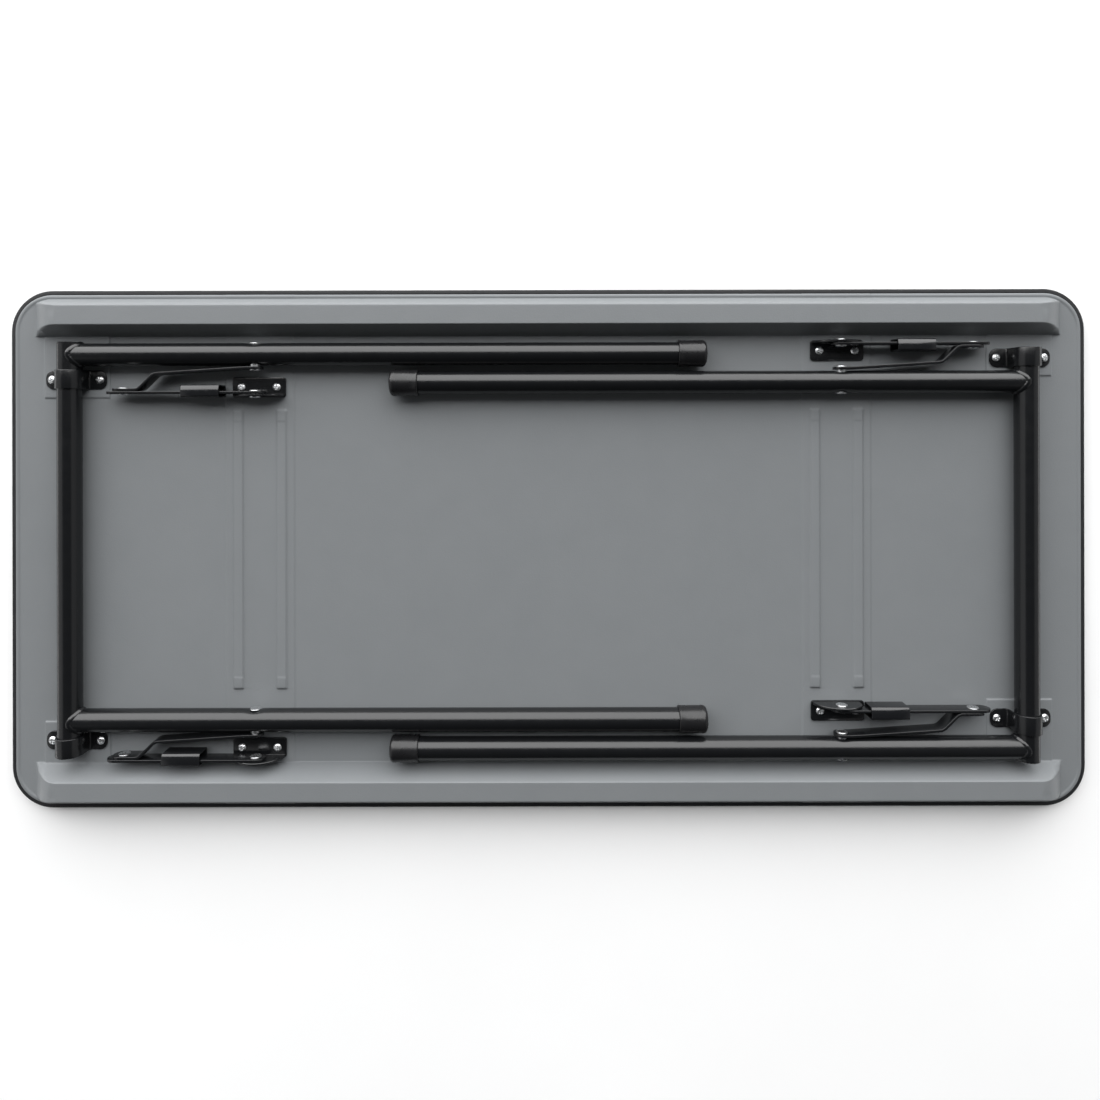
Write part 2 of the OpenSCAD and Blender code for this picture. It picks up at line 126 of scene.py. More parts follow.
def make_piece(name, shape, material, body, nodes, crease=38):
    """One mesh object from a shape, its faces turned outwards and its edges sharp past the crease angle, in
    degrees."""
    points, faces = shape
    mesh = bpy.data.meshes.new(name)
    mesh.from_pydata(points.tolist(), [], faces)
    work = bmesh.new()
    work.from_mesh(mesh)
    bmesh.ops.remove_doubles(work, verts=work.verts, dist=1e-6)
    bmesh.ops.recalc_face_normals(work, faces=work.faces)
    work.to_mesh(mesh)
    work.free()
    mesh.polygons.foreach_set("use_smooth", np.ones(len(mesh.polygons), bool))
    mesh.set_sharp_from_angle(angle=math.radians(crease))
    mesh.materials.append(material)
    piece = bpy.data.objects.new(name, mesh)
    bpy.context.scene.collection.objects.link(piece)
    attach(piece, body)
    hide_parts(*nodes)
    return piece


# Curves and sections


def arc(centre, radius, start, end, count):
    """Points on a circle from one angle to another, in degrees: centre + radius (cos, sin)."""
    angle = np.radians(np.linspace(start, end, count))
    return np.stack([centre[0] + radius * np.cos(angle), centre[1] + radius * np.sin(angle)], axis=1)


def rounded_loop(width, height, radius, steps=6):
    """A rectangle with round corners about the origin, as one loop of points, with a quarter circle at each
    corner."""
    radius = min(radius, width / 2 - 1e-5, height / 2 - 1e-5)
    x, y = width / 2 - radius, height / 2 - radius
    quarters = [((x, y), 0), ((-x, y), 90), ((-x, -y), 180), ((x, -y), 270)]
    return np.vstack([arc(centre, radius, turn, turn + 90, steps) for centre, turn in quarters])


def lathe(profile, turns=56):
    """A profile of (radius, height) turned about Z: (r cos a, r sin a, h). Ends on the axis are drawn
    together."""
    angle = np.linspace(0, 2 * np.pi, turns, endpoint=False)
    radius = np.maximum(profile[:, :1], 1e-7)
    rings = np.stack([
        radius * np.cos(angle), radius * np.sin(angle), np.repeat(profile[:, 1:], turns, axis=1)
    ], axis=-1)
    return loft(rings)


AXES = {
    "+x": ((0, 1, 0), (0, 0, 1), (1, 0, 0)), "-x": ((0, -1, 0), (0, 0, 1), (-1, 0, 0)),
    "+y": ((0, 0, 1), (1, 0, 0), (0, 1, 0)), "-y": ((0, 0, 1), (-1, 0, 0), (0, -1, 0)),
    "+z": ((1, 0, 0), (0, 1, 0), (0, 0, 1))
}


def placed(shape, origin, axis="+z"):
    """A shape made about the origin along Z, laid along another axis and moved to its place."""
    points, faces = shape
    return points @ np.array(AXES[axis], float) + np.array(origin), faces


def turned(shape, side):
    """A shape of the left frame, or for the right frame the same shape turned half a turn about Z."""
    points, faces = shape
    return points * np.array([TURN[side], TURN[side], 1.0]), faces


def bar(path, flat, widths, thickness, edge, steps=4):
    """A flat bar bent along a path: at each point of the path a round-cornered section, as wide as the widths
    array says along the direction flat, and as thick as given across both flat and the path."""
    ahead = np.gradient(path, axis=0)
    ahead /= np.linalg.norm(ahead, axis=1, keepdims=True)
    flat = np.broadcast_to(np.array(flat, float), path.shape)
    across = np.cross(ahead, flat)
    across /= np.linalg.norm(across, axis=1, keepdims=True)
    rings = []
    for point, wide, side, width in zip(path, flat, across, widths):
        loop = rounded_loop(max(width, 0.2 * MM), thickness, edge, steps)
        rings.append(point + loop[:, :1] * wide + loop[:, 1:] * side)
    return loft(np.array(rings))


def round_end_widths(distance, length, width, radius):
    """Width along a bar with rounded ends: full in the middle, and near an end
    2 (w/2 - r + sqrt(r^2 - (r - d)^2)), where d is the distance from that end."""
    near = np.clip(np.minimum(distance, length - distance), 0, radius)
    return width - 2 * radius + 2 * np.sqrt(np.maximum(radius ** 2 - (radius - near) ** 2, 0))


def end_dense(length, radius, middle, count=14):
    """Distances along a bar, close together over its two round ends: r (1 - cos a) from each end."""
    near = radius * (1 - np.cos(np.linspace(0.06, np.pi / 2, count)))
    return np.concatenate([near, np.asarray(middle, float), length - near[::-1]])


# Materials


def new_material(name, colour, roughness, metallic=0.0, specular=0.5):
    """A plain surface: colour, roughness, metal and specular values set on the shader's own sockets."""
    material = bpy.data.materials.new(name)
    material.use_nodes = True
    shader = material.node_tree.nodes["Principled BSDF"]
    shader.inputs["Base Color"].default_value = (*colour, 1)
    shader.inputs["Roughness"].default_value = roughness
    shader.inputs["Metallic"].default_value = metallic
    shader.inputs["Specular IOR Level"].default_value = specular
    return material


def add_node(material, kind, **settings):
    """A node with its input values set by name."""
    node = material.node_tree.nodes.new(kind)
    for name, value in settings.items():
        node.inputs[name.replace("_", " ")].default_value = value
    return node


def add_link(material, source, output, target, socket):
    """A link from a named output to a named input."""
    material.node_tree.links.new(source.outputs[output], target.inputs[socket])


def add_bump(material, layers):
    """Stacked bumps on Object coordinates. Each layer is (texture, scale per metre, height in metres,
    strength)."""
    shader = material.node_tree.nodes["Principled BSDF"]
    place = material.node_tree.nodes.new("ShaderNodeTexCoord")
    before = None
    for kind, scale, height, strength in layers:
        if kind == "cells":
            texture = add_node(material, "ShaderNodeTexVoronoi", Scale=scale)
            texture.feature = "SMOOTH_F1"
            texture.inputs["Smoothness"].default_value = 0.6
            output = "Distance"
        else:
            texture = add_node(material, "ShaderNodeTexNoise", Scale=scale, Detail=3.0, Roughness=0.55)
            output = "Fac"
        add_link(material, place, "Object", texture, "Vector")
        bump = add_node(material, "ShaderNodeBump", Strength=strength, Distance=height)
        add_link(material, texture, output, bump, "Height")
        if before:
            add_link(material, before, "Normal", bump, "Normal")
        before = bump
    add_link(material, before, "Normal", shader, "Normal")


def add_variation(material, low, high, scale, socket, spread=0.12, detail=4.0):
    """Slow variation of a colour or roughness: noise on Object coordinates through a ramp from low to
    high."""
    shader = material.node_tree.nodes["Principled BSDF"]
    place = material.node_tree.nodes.new("ShaderNodeTexCoord")
    noise = add_node(material, "ShaderNodeTexNoise", Scale=scale, Detail=detail, Roughness=0.6)
    ramp = material.node_tree.nodes.new("ShaderNodeValToRGB")
    ramp.color_ramp.elements[0].position = 0.5 - spread
    ramp.color_ramp.elements[1].position = 0.5 + spread
    ramp.color_ramp.elements[0].color = (*low, 1)
    ramp.color_ramp.elements[1].color = (*high, 1)
    add_link(material, place, "Object", noise, "Vector")
    add_link(material, noise, "Fac", ramp, "Fac")
    add_link(material, ramp, "Color", shader, socket)


def grey_abs():
    """Moulded grey ABS: a fine haircell grain, faintly uneven in tone and in sheen."""
    material = new_material("grey_abs_haircell", (0.17, 0.18, 0.187), 0.5, specular=0.35)
    add_variation(material, (0.1675, 0.1775, 0.1845), (0.1725, 0.1825, 0.1895), 22, "Base Color", 0.16)
    add_variation(material, (0.47,) * 3, (0.53,) * 3, 60, "Roughness")
    add_bump(material, [("cells", 620, 0.12 * MM, 0.5), ("noise", 1900, 0.06 * MM, 0.45)])
    return material


def black_abs():
    """The top skin's near-black ABS: pebbled, with faint scuffs in its sheen."""
    material = new_material("black_abs_pebble", (0.012, 0.0125, 0.014), 0.5, specular=0.4)
    add_variation(material, (0.42,) * 3, (0.6,) * 3, 35, "Roughness")
    add_bump(material, [("cells", 850, 0.1 * MM, 0.5), ("noise", 2400, 0.04 * MM, 0.4)])
    return material


def powder_coat():
    """Black powder coat on steel: satin, with a fine orange peel."""
    material = new_material("black_powder_coat", (0.006, 0.0064, 0.0072), 0.23, specular=0.55)
    add_variation(material, (0.21,) * 3, (0.25,) * 3, 70, "Roughness")
    add_bump(material, [("noise", 240, 0.01 * MM, 0.06), ("noise", 900, 0.003 * MM, 0.1)])
    return material


def cap_plastic():
    """Black polyethylene: smooth, softer in its reflections than the coated steel."""
    material = new_material("black_polyethylene", (0.009, 0.009, 0.0098), 0.29, specular=0.45)
    add_variation(material, (0.26,) * 3, (0.33,) * 3, 120, "Roughness")
    add_bump(material, [("noise", 900, 0.012 * MM, 0.15)])
    return material


def ring_steel():
    """The locking ring's coat, polished by sliding."""
    material = new_material("ring_coat", (0.0075, 0.008, 0.009), 0.17, specular=0.6)
    add_variation(material, (0.14,) * 3, (0.21,) * 3, 140, "Roughness")
    add_bump(material, [("noise", 700, 0.006 * MM, 0.12)])
    return material


def zinc_plate():
    """Bright zinc plate: metal, mottled at the scale of its crystals."""
    material = new_material("zinc_plate", (0.72, 0.73, 0.74), 0.27, metallic=1.0)
    add_variation(material, (0.2,) * 3, (0.36,) * 3, 900, "Roughness")
    add_bump(material, [("noise", 1600, 0.02 * MM, 0.3)])
    return material


def board():
    """Unfinished board inside the top: pale brown with darker chips."""
    material = new_material("core_board", (0.38, 0.25, 0.14), 0.8)
    add_variation(material, (0.3, 0.19, 0.1), (0.46, 0.31, 0.18), 160, "Base Color")
    add_bump(material, [("noise", 300, 0.2 * MM, 0.5)])
    return material


def mill_steel():
    """Mill-finish steel of the tubes inside the rails."""
    material = new_material("mill_steel", (0.32, 0.33, 0.34), 0.42, metallic=1.0)
    add_variation(material, (0.35,) * 3, (0.52,) * 3, 50, "Roughness")
    add_bump(material, [("noise", 500, 0.03 * MM, 0.3)])
    return material


GREY = grey_abs()
DARK = black_abs()
COAT = powder_coat()
CAP = cap_plastic()
RING = ring_steel()
ZINC = zinc_plate()
BOARD = board()
STEEL = mill_steel()


# Table top


def soft_least(a, b, k):
    """The smaller of two heights, blended over a band k: min(a, b) - k h^2 / 4, where h is
    max(1 - |a - b| / k, 0)."""
    return np.minimum(a, b) - np.maximum(1 - np.abs(a - b) / k, 0) ** 2 * k / 4


def soft_most(a, b, k):
    """The larger of two heights, blended over a band k in the same way."""
    return -soft_least(-a, -b, k)


def step(value, low, high):
    """A smooth step from 0 below low to 1 above high: 3t^2 - 2t^3."""
    t = np.clip((value - low) / (high - low), 0, 1)
    return t * t * (3 - 2 * t)


def raised(x, y, x_low, x_high, y_low, y_high, edge):
    """1 inside a rectangle and 0 outside it, with sloped edges as wide as edge, centred on its sides."""
    half = edge / 2
    sides = step(x, x_low - half, x_low + half) * step(-x, -x_high - half, -x_high + half)
    ends = step(y, y_low - half, y_low + half) * step(-y, -y_high - half, -y_high + half)
    return sides * ends


def edge_distance(x, y, half_x, half_y, radius):
    """Distance inwards from the outline of a rounded rectangle: the radius less the distance from the
    corner's centre where both parts of that distance are positive, or else the distance from the nearest
    side."""
    over_x = np.abs(x) - (half_x - radius)
    over_y = np.abs(y) - (half_y - radius)
    outside = np.hypot(np.maximum(over_x, 0), np.maximum(over_y, 0))
    return radius - outside - np.minimum(np.maximum(over_x, over_y), 0)


SKIN_WALL = 1.6 * MM
LIP_W = 6.5 * MM
OUT_RUN = 9.4 * MM
IN_RUN = 11.2 * MM
CREST_W = 22 * MM
END_GAP = 29 * MM
END_RUN = 34.5 * MM
END_BOW = 1.6
CREST_OUT_Y = SKIN_Y - LIP_W - OUT_RUN
CREST_IN_Y = CREST_OUT_Y - CREST_W
FOOT_Y = CREST_IN_Y - IN_RUN
FOOT_X = HALF_X - END_GAP
RAIL_H = CREST_Z - FLOOR_Z
PAD_HALF = 37 * MM
PAD_REACH = 20.4 * MM
PAD_EDGE = 0.9 * MM
BAND_HALF = 39 * MM
BAND_RISE = BAND_TOP - FLOOR_Z
BAND_EDGE = 0.7 * MM
RIB_OFF = 24.5 * MM
RIB_HALF = 5.35 * MM
RIB_EDGE = 0.75 * MM
RIB_RISE = 1.4 * MM
RIB_END = INNER_LEG_Y - 30 * MM
BLOCK_LEN = 13 * MM
BLOCK_RISE = 0.25 * MM
BLOCK_EDGE = 0.8 * MM
ROLL_W = 2.6 * MM
ROLL_DROP = 0.95 * MM
GRID_FILL = 24 * MM
STRAP_REAR_Y = box("strap_left_rear")[2][1]
STRAP_FRONT_Y = box("strap_left_front")[2][1]


def rail_height(x, y, inset):
    """Height of a rail: the least of its inner slope, its outer slope, its bowed end and its crest. Each is a
    plane or a power of the distance from its foot. They are blended where they meet, more softly outside
    than inside."""
    inner = (np.abs(y) - FOOT_Y) / IN_RUN * RAIL_H
    outer = (inset - LIP_W) / OUT_RUN * RAIL_H
    t = (FOOT_X - np.abs(x)) / END_RUN
    bowed = 1 - np.abs(1 - np.clip(t, -1, 1)) ** END_BOW * np.sign(1 - t)
    end = RAIL_H * np.where(t < 1, bowed, 1 + (t - 1) * 0.9)
    height = soft_least(soft_least(inner, end, 0.7 * MM), outer, 1.6 * MM)
    blend = (1.4 + 2.2 * step(inner - outer, -30 * MM, 30 * MM)) * MM
    return soft_least(height, RAIL_H, blend)


def underside_height(x, y):
    """Height of the underside over its floor: lip, pads, bands and ribs added up, and the rails blended
    on."""
    inset = edge_distance(x, y, SKIN_X, SKIN_Y, CORNER_R - RIM_W)
    roll = np.clip(1 - (inset + RIM_W - RIM_SHOWN) / ROLL_W, 0, 1)
    roll = np.sqrt(np.maximum(1 - roll ** 2, 0))
    flat = -ROLL_DROP + (ROLL_DROP + LIP_RISE) * roll
    flat = flat - LIP_RISE * step(inset, 4.8 * MM, LIP_W + 0.4 * MM)
    for turn in (1, -1):
        u, v = x * turn, y * turn
        low, high = -HINGE_X - PAD_HALF, -HINGE_X + PAD_HALF
        pads = raised(u, v, low, high, STRAP_REAR_Y - PAD_REACH, 1, PAD_EDGE)
        pads += raised(u, v, low, high, -1, STRAP_FRONT_Y + PAD_REACH, PAD_EDGE)
        flat = flat + PAD_RISE * pads * step(inset, 9 * MM, 12 * MM)
        band = raised(u, v, -BRACKET_X - BAND_HALF, -BRACKET_X + BAND_HALF, -1, 1, BAND_EDGE)
        flat = flat + BAND_RISE * band
        for middle in (-BRACKET_X - RIB_OFF, -BRACKET_X + RIB_OFF):
            rib = raised(u, v, middle - RIB_HALF, middle + RIB_HALF, -RIB_END, RIB_END, RIB_EDGE)
            start = RIB_END - BLOCK_LEN
            blocks = step(np.abs(y), start - BLOCK_EDGE / 2, start + BLOCK_EDGE / 2)
            flat = flat + RIB_RISE * rib + BLOCK_RISE * rib * blocks
    rail = rail_height(x, y, inset)
    return np.where(rail > -5 * MM, soft_most(flat, rail, 1.2 * MM), flat)


def graded_lines(half, asked, fill):
    """Grid lines from -half to half: the asked ones on both sides, and even ones between them where they lie
    more than fill apart."""
    lines = np.unique(np.round(np.concatenate([asked, -asked, [half, -half]]), 6))
    lines = lines[np.concatenate([[True], np.diff(lines) > 0.24 * MM])]
    lines[-1] = half
    spans = []
    for low, high in zip(lines[:-1], lines[1:]):
        spans.append(np.linspace(low, high, int(np.ceil((high - low) / fill)) + 1)[:-1])
    return np.concatenate(spans + [lines[-1:]])


def beside(places, edge):
    """Lines that hold the shape of sloped edges: at both ends of each slope, inside it, and a little beyond
    it."""
    offsets = np.array([-0.5 * edge - 1.5 * MM, -0.55 * edge, -0.25 * edge, 0.25 * edge, 0.55 * edge])
    offsets = np.append(offsets, 0.5 * edge + 1.5 * MM)
    return (np.asarray(places)[:, None] + offsets).ravel()


def underside_skin():
    """The grey skin: a grid over the outline, its corner squares drawn in to quarter discs by
    (u sqrt(1 - v^2/2), v sqrt(1 - u^2/2)), lifted to the height of the underside, and given its wall."""
    radius = CORNER_R - RIM_SHOWN
    half_x, half_y = HALF_X - RIM_SHOWN, HALF_Y - RIM_SHOWN
    lip = np.array([0.3, 0.7, 1.2, 1.8, 2.5, 3.3, 4.1, 4.8, 5.4, 6.0, 6.6, 7.3, 8.2]) * MM
    pads_x = beside([HINGE_X - PAD_HALF, HINGE_X + PAD_HALF], PAD_EDGE)
    bands_x = beside([BRACKET_X - BAND_HALF, BRACKET_X + BAND_HALF], BAND_EDGE)
    ribs_x = beside([BRACKET_X + a * RIB_OFF + b * RIB_HALF for a in (-1, 1) for b in (-1, 1)], RIB_EDGE)
    ends_x = half_x - np.arange(9.5, 66, 1.6) * MM
    xs = graded_lines(half_x, np.concatenate([half_x - lip, pads_x, bands_x, ribs_x, ends_x]), GRID_FILL)
    pads_y = beside([STRAP_REAR_Y - PAD_REACH, -STRAP_FRONT_Y - PAD_REACH], PAD_EDGE)
    ribs_y = beside([RIB_END], RIB_EDGE)
    blocks_y = beside([RIB_END - BLOCK_LEN], BLOCK_EDGE)
    crest_y = CREST_OUT_Y + np.array([-1.6, -0.9, -0.3, 0.3, 0.9, 1.6]) * MM
    inner_y = CREST_IN_Y + np.array([-1.1, -0.6, -0.25, 0.1, 0.45, 1.0]) * MM
    foot_y = FOOT_Y + np.array([-1.8, -0.7, -0.3, 0.1, 0.5, 1.6]) * MM
    ends_y = half_y - np.arange(9.5, radius / MM + 1, 1.6) * MM
    asked = [half_y - lip, pads_y, ribs_y, blocks_y, crest_y, inner_y, foot_y, ends_y]
    ys = graded_lines(half_y, np.concatenate(asked), GRID_FILL)
    x, y = np.meshgrid(xs, ys, indexing="ij")
    u = np.clip((np.abs(x) - (half_x - radius)) / radius, 0, 1)
    v = np.clip((np.abs(y) - (half_y - radius)) / radius, 0, 1)
    corner = (u > 0) & (v > 0)
    round_x = half_x - radius + radius * u * np.sqrt(1 - v * v / 2)
    round_y = half_y - radius + radius * v * np.sqrt(1 - u * u / 2)
    x = np.where(corner, np.sign(x) * round_x, x)
    y = np.where(corner, np.sign(y) * round_y, y)
    z = np.minimum(FLOOR_Z + underside_height(x, y), CREST_Z)
    points = np.stack([x, y, z], axis=-1).reshape(-1, 3)
    mesh = bpy.data.meshes.new("underside_skin_moulded")
    faces = [face[::-1] for face in grid_faces(*x.shape)]
    mesh.from_pydata(points.tolist(), [], faces)
    mesh.polygons.foreach_set("use_smooth", np.ones(len(mesh.polygons), bool))
    mesh.materials.append(GREY)
    skin = bpy.data.objects.new("underside_skin_moulded", mesh)
    bpy.context.scene.collection.objects.link(skin)
    wall = skin.modifiers.new("wall", "SOLIDIFY")
    wall.thickness = SKIN_WALL
    wall.offset = -1
    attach(skin, "root")
    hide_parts("underside_skin")


def outline_loop(inset, steps=20, run=24):
    """The table's outline drawn in by inset: four quarter circles joined by straight sides, as one loop."""
    radius = max(CORNER_R - inset, 0.5 * MM)
    x, y = HALF_X - inset - radius, HALF_Y - inset - radius
    loops = []
    for (cx, cy), turn in zip([(x, y), (-x, y), (-x, -y), (x, -y)], (0, 90, 180, 270)):
        loops.append(arc((cx, cy), radius, turn, turn + 90, steps))
        after = [(-x, y + radius), (-x - radius, -y), (x, -y - radius), (x + radius, y)][turn // 90]
        t = np.linspace(0, 1, run + 2)[1:-1, None]
        loops.append(loops[-1][-1] * (1 - t) + np.array(after) * t)
    return np.vstack(loops)


def top_skin():
    """The dark skin: a section of (inset, height) carried round the outline, from the work face over its
    round edge, up the side, over the rolled rim and down inside to the back of the face."""
    edge, rim, bevel = 5 * MM, 1.5 * MM, 0.6 * MM
    back, far = 2 * MM, 30 * MM
    inner = RIM_SHOWN - 0.15 * MM
    section = [(far, 0), (edge + 1 * MM, 0)]
    for a in np.radians(np.linspace(0, 90, 10)):
        section.append((edge - edge * math.sin(a), edge - edge * math.cos(a)))
    for a in np.radians(np.linspace(0, 90, 7)):
        section.append((rim - rim * math.cos(a), RIM_TOP - rim + rim * math.sin(a)))
    section += [(inner - bevel, RIM_TOP), (inner, RIM_TOP - bevel)]
    section += [(inner, back + bevel), (inner + bevel, back), (far, back)]
    rings = []
    for inset, z in section:
        loop = outline_loop(inset)
        rings.append(np.hstack([loop, np.full((len(loop), 1), z)]))
    make_piece("top_skin_rolled", loft(np.array(rings)), DARK, "root", ["top_skin"])


# Hinges


STRAP_T = 1.8 * MM
PLATE_T = 2.5 * MM


def strap(corner):
    """A saddle strap: a flat bar whose path runs along one foot, up round the tube and down to the other
    foot."""
    low, high, mid = box(f"strap_{corner}")
    thick = STRAP_T
    width = high[1] - low[1]
    half = (high[0] - low[0]) / 2
    bend = 3 * MM
    saddle = TUBE_R + 0.3 * MM + thick / 2
    z = PAD_TOP + thick / 2
    near = end_dense(half - saddle - bend, 8 * MM, [], 12)[:12]
    foot = np.stack([half - near, np.full(12, z)], axis=1)
    run = np.array([[saddle + bend + 0.5 * MM, z]])
    fillet = arc((saddle + bend, z + bend), bend, 270, 180, 7)
    over = arc((0, HINGE_Z), saddle, 0, 180, 33)
    right = np.vstack([foot, run, fillet])
    left = right[::-1] * np.array([-1, 1])
    line = np.vstack([right, over, left])
    path = np.stack([line[:, 0], np.zeros(len(line)), line[:, 1]], axis=1)
    widths = np.full(len(line), width)
    from_end = half - np.abs(line[:, 0])
    at_foot = line[:, 1] < z + 0.1 * MM
    widths = np.where(at_foot, round_end_widths(from_end, 10 * half, width, 8 * MM), widths)
    shape = bar(path, (0, 1, 0), widths, thick, 0.5 * MM)
    shape = (shape[0] + np.array([mid[0], mid[1], 0]), shape[1])
    make_piece(f"strap_bent_{corner}", shape, COAT, "root", [f"strap_{corner}"])


def screw_head(radius, height, turns=40, rows=22):
    """A domed head with a cross recess, on a polar grid: the dome is h (1 - (r/R)^2.4) above a short rim,
    less a recess whose arms are narrow smooth bands along two diameters, deepest in the middle."""
    t = np.linspace(0, 1, rows)
    r = radius * np.sin(t * np.pi / 2)
    angle = np.linspace(0, 2 * np.pi, turns, endpoint=False)
    x, y = np.outer(r, np.cos(angle)), np.outer(r, np.sin(angle))
    z = height * (0.3 + 0.7 * (1 - (r[:, None] / radius) ** 2.4)) * np.ones_like(x)
    reach = step(-np.maximum(np.abs(x), np.abs(y)), -0.62 * radius, -0.5 * radius)
    arm = 0.13 * radius
    along_y = step(-np.abs(x), -arm * 1.5, -arm * 0.5)
    along_x = step(-np.abs(y), -arm * 1.5, -arm * 0.5)
    cross = np.maximum(along_y, along_x) * reach
    z = z - cross * height * 0.62 * (1 - 0.5 * np.hypot(x, y) / radius)
    rings = np.stack([x, y, z], axis=-1)
    rings[0] = [1e-7, 0, rings[0, 0, 2]]
    skirt = rings[-1] * np.array([1, 1, 0])
    tucked = skirt * np.array([0.5, 0.5, 0]) + np.array([0, 0, -0.3 * MM])
    return loft(np.vstack([rings, skirt[None], tucked[None]]))


def screws(side, kind, corners, seat_z, spacing):
    """The screws of one side: two to a strap or bracket, each head turned its own way."""
    shapes = []
    shank = np.array([[0, -8], [2, -8], [2, 0], [2, 0.5], [0, 0.5]]) * MM
    for corner in corners:
        mid = box(f"{kind}_{corner}")[2]
        centre_y = mid[1] if kind == "strap" else mid[1] + TURN[side] * 0.25 * MM
        for n, sign in enumerate((-1, 1)):
            seat = np.array([mid[0] + sign * spacing, centre_y, seat_z])
            points, faces = screw_head(4.6 * MM, 2.6 * MM)
            turn = 0.5 + 1.1 * n + 0.7 * len(shapes)
            c, s = math.cos(turn), math.sin(turn)
            spin = np.array([[c, s, 0], [-s, c, 0], [0, 0, 1]])
            shapes.append((points @ spin + seat, faces))
            shapes.append(placed(lathe(shank, 20), seat))
    make_piece(f"{kind}_screws_pan_{side}", joined(shapes), ZINC, "root",
               [f"{kind}_screws_{side}"], 50)


# Leg frames


def cross_tube(side):
    """The hinge tube: a straight tube with its ends slightly rounded over."""
    low, high, mid = box(f"cross_tube_{side}")
    length = high[1] - low[1]
    inside = TUBE_R - 1.2 * MM
    edge = 0.5 * MM
    profile = np.array([
        [inside, length / 2 - 3 * MM], [inside, edge], [inside + edge, 0], [TUBE_R - edge, 0], [TUBE_R, edge],
        [TUBE_R, length * 0.3], [TUBE_R, length * 0.7],
        [TUBE_R, length - edge], [TUBE_R - edge, length], [inside + edge, length], [inside, length - edge],
        [inside, length / 2 + 3 * MM]
    ])
    angle = np.linspace(0, 2 * np.pi, 72, endpoint=False)
    r, h = profile[:, :1], profile[:, 1:]
    rings = np.stack([r * np.cos(angle), r * np.sin(angle), h * np.ones_like(angle)], axis=-1)
    shape = placed(loft(rings, close=True), (mid[0], low[1], mid[2]), "+y")
    make_piece(f"cross_tube_coated_{side}", shape, COAT, f"leg_frame_{side}",
               [f"cross_tube_{side}"])


def tube_plugs(side):
    """Moulded plugs in the ends of the hinge tube: a slightly domed flange and a stem."""
    low, high, mid = box(f"cross_tube_{side}")
    flange = 1.6 * MM
    inside = TUBE_R - 1.35 * MM
    stem = [(0, -12 * MM), (inside - 1 * MM, -12 * MM), (inside, -11 * MM), (inside, 0), (TUBE_R, 0)]
    dome = [(TUBE_R * math.cos(a), flange * (0.35 + 0.65 * math.sin(a)))
            for a in np.radians(np.linspace(0, 90, 10))]
    profile = np.array(stem + dome)
    shapes = [placed(lathe(profile), (mid[0], high[1], mid[2]), "+y")]
    shapes.append(placed(lathe(profile), (mid[0], low[1], mid[2]), "-y"))
    make_piece(f"tube_plugs_domed_{side}", joined(shapes), CAP, f"leg_frame_{side}",
               [f"tube_plugs_{side}"])


BOLT_AT = HINGE_X - BRACKET_X


def leg_tube(corner):
    """A leg in the left frame's sense: radius R at angle a, drawn in by a pressed flat on each side at the
    bolt, R (1 - d cos^6 a exp(-((s - s0)/w)^2)), with a wavy weld bead laid along the curve where it meets
    the hinge tube."""
    side = corner.split("_")[0]
    low, high, mid = box(f"leg_tube_{corner}")
    start = 0.35 * TUBE_R
    end = HINGE_X + TURN[side] * (high[0] if side == "left" else low[0])
    flats = BOLT_AT + np.linspace(-16, 16, 33) * MM
    beyond = np.linspace(BOLT_AT + 30 * MM, end, 12)
    s = np.unique(np.concatenate([[start, TUBE_R, 3 * TUBE_R], flats, beyond]))
    angle = np.linspace(0, 2 * np.pi, 72, endpoint=False)
    press = 0.13 * np.cos(angle) ** 6 * np.exp(-((s[:, None] - BOLT_AT) / (7 * MM)) ** 2)
    r = TUBE_R * (1 - press)
    y, z = r * np.cos(angle), r * np.sin(angle)
    tube = loft(np.stack([s[:, None] * np.ones_like(angle) - HINGE_X, y, z + HINGE_Z], axis=-1))
    t = np.linspace(0, 2 * np.pi, 200, endpoint=False)
    reach = TUBE_R + 0.2 * MM
    track = np.stack([np.hypot(reach * np.cos(t), 5.2 * MM), reach * np.cos(t), reach * np.sin(t)], axis=1)
    away = track * np.array([0.6, 1.0, 1.0])
    away /= np.linalg.norm(away, axis=1, keepdims=True)
    along = np.roll(track, -1, axis=0) - np.roll(track, 1, axis=0)
    along /= np.linalg.norm(along, axis=1, keepdims=True)
    across = np.cross(along, away)
    ring = np.linspace(0, 2 * np.pi, 14, endpoint=False)
    size = (2.0 + 0.04 * np.sin(t * 23) + 0.1 * np.sin(t * 5 + 1)) * MM
    out = np.cos(ring)[None, :, None] * away[:, None] * 0.62
    aside = np.sin(ring)[None, :, None] * across[:, None] * 1.35
    bead = track[:, None] + size[:, None, None] * (out + aside)
    bead = bead + np.array([-HINGE_X, 0, HINGE_Z])
    shape = joined([tube, loft(bead, close=True)])
    shape = (shape[0] + np.array([0, mid[1] * TURN[side], 0]), shape[1])
    make_piece(f"leg_tube_welded_{corner}", turned(shape, side), COAT, f"leg_frame_{side}",
               [f"leg_tube_{corner}"])


